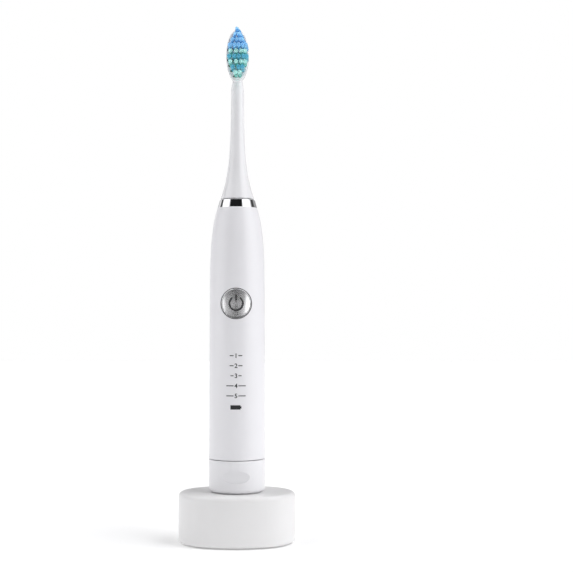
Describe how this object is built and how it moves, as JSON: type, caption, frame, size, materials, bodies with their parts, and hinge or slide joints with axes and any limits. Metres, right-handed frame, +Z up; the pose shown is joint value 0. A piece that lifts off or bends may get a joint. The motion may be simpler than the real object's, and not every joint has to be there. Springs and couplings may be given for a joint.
{
  "type": "electric toothbrush on charger",
  "caption": "Slim sonic toothbrush standing on a low oval charger, with a pull-off brush head on a swinging shaft and a round push button.",
  "frame": {"origin": "on the floor under the handle's axis, at the middle of the charger's footprint", "axes": "+Z up along the handle, -Y to the front where the button and bristles face, +X to the right"},
  "size_m": [0.058, 0.0456, 0.2559],
  "materials": {
    "charger_white": "fine satin moulding",
    "charger_underside": "matt moulding",
    "grey_rubber": "soft matt",
    "white_rubber": "soft matt",
    "black_rubber": "soft matt",
    "screw_steel": "zinc plated",
    "circuit_board": "solder mask",
    "dark_components": "moulded",
    "bobbin_plastic": "natural moulding",
    "copper_winding": "enamelled wire",
    "ferrite": "sintered",
    "handle_satin_white": "soft satin",
    "cap_satin_white": "soft satin",
    "collar_chrome": "bright",
    "bezel_chrome": "bright",
    "button_metal": "spun",
    "plunger_plastic": "moulded",
    "lamp_lens": "clear",
    "dark_plastic": "moulded",
    "frame_plastic": "moulded",
    "cell_sleeve": "film sleeve",
    "nickel": "nickel strip",
    "lead_insulation": "smooth",
    "motor_steel": "drawn",
    "laminated_steel": "stamped stack",
    "bearing_bronze": "sintered",
    "magnet": "nickel plated",
    "shaft_steel": "ground",
    "head_gloss_white": "polished",
    "bristle_mint": "nylon",
    "bristle_blue": "nylon",
    "bristle_tip_blue": "nylon",
    "anchor_brass": "plain wire"
  },
  "bodies": {
    "charger": {"base_shell": "charger_white", "base_cover": "charger_underside", "rubber_feet": "grey_rubber", "base_screws": "screw_steel", "base_board": "circuit_board", "base_board_parts": "dark_components", "primary_bobbin": "bobbin_plastic", "primary_coil": "copper_winding", "ferrite_core": "ferrite", "cord_gland": "white_rubber"},
    "handle": {"handle_housing": "handle_satin_white", "bottom_cap": "cap_satin_white", "cap_oring": "black_rubber", "collar_ring": "collar_chrome", "shaft_seal": "grey_rubber", "button_bezel": "bezel_chrome", "button_membrane": "black_rubber", "tact_switch": "dark_components", "main_board": "circuit_board", "board_chips": "dark_components", "mode_lamps": "lamp_lens", "lamp_shroud": "dark_plastic", "inner_frame": "frame_plastic", "battery_cell": "cell_sleeve", "battery_tabs": "nickel", "battery_leads": "lead_insulation", "pickup_bobbin": "bobbin_plastic", "pickup_coil": "copper_winding", "coil_leads": "lead_insulation", "motor_can": "motor_steel", "motor_end_plate": "motor_steel", "motor_screws": "screw_steel", "motor_bumper": "black_rubber", "front_bearing": "bearing_bronze", "rear_bearing": "bearing_bronze", "stator_core": "laminated_steel", "stator_coils": "copper_winding", "torsion_bar": "shaft_steel"},
    "power_button": {"power_button": "button_metal"},
    "switch_plunger": {"switch_plunger": "plunger_plastic"},
    "drive": {"drive_shaft": "shaft_steel", "rotor_core": "laminated_steel", "rotor_magnets": "magnet"},
    "brush_head": {"brush_head_shell": "head_gloss_white", "bristles_mint": "bristle_mint", "bristles_blue": "bristle_blue", "bristles_tip": "bristle_tip_blue", "tuft_anchors": "anchor_brass", "socket_insert": "bobbin_plastic", "retaining_clip": "shaft_steel"}
  },
  "joints": [
    {"name": "handle_lift", "type": "slide", "parent": "charger", "child": "handle", "axis": [0, 0, 1], "range_m": [0, 0.04]},
    {"name": "shaft_oscillation", "type": "hinge", "parent": "handle", "child": "drive", "pos_m": [0, 0, 0.14], "axis": [0, 0, 1], "range_deg": [-4.5, 4.5], "stiffness_Nm_per_rad": 0.3},
    {"name": "brush_head_pull", "type": "slide", "parent": "drive", "child": "brush_head", "axis": [0, 0, 1], "range_m": [0, 0.03]},
    {"name": "button_press", "type": "slide", "parent": "handle", "child": "power_button", "axis": [0, 1, 0], "range_m": [0, 0.00035], "stiffness_N_per_m": 6000},
    {"name": "plunger_press", "type": "slide", "parent": "handle", "child": "switch_plunger", "axis": [0, 1, 0], "range_m": [0, 0.00035]}
  ],
  "couplings": [
    {"joint": "plunger_press", "follows": "button_press", "ratio": 1}
  ]
}
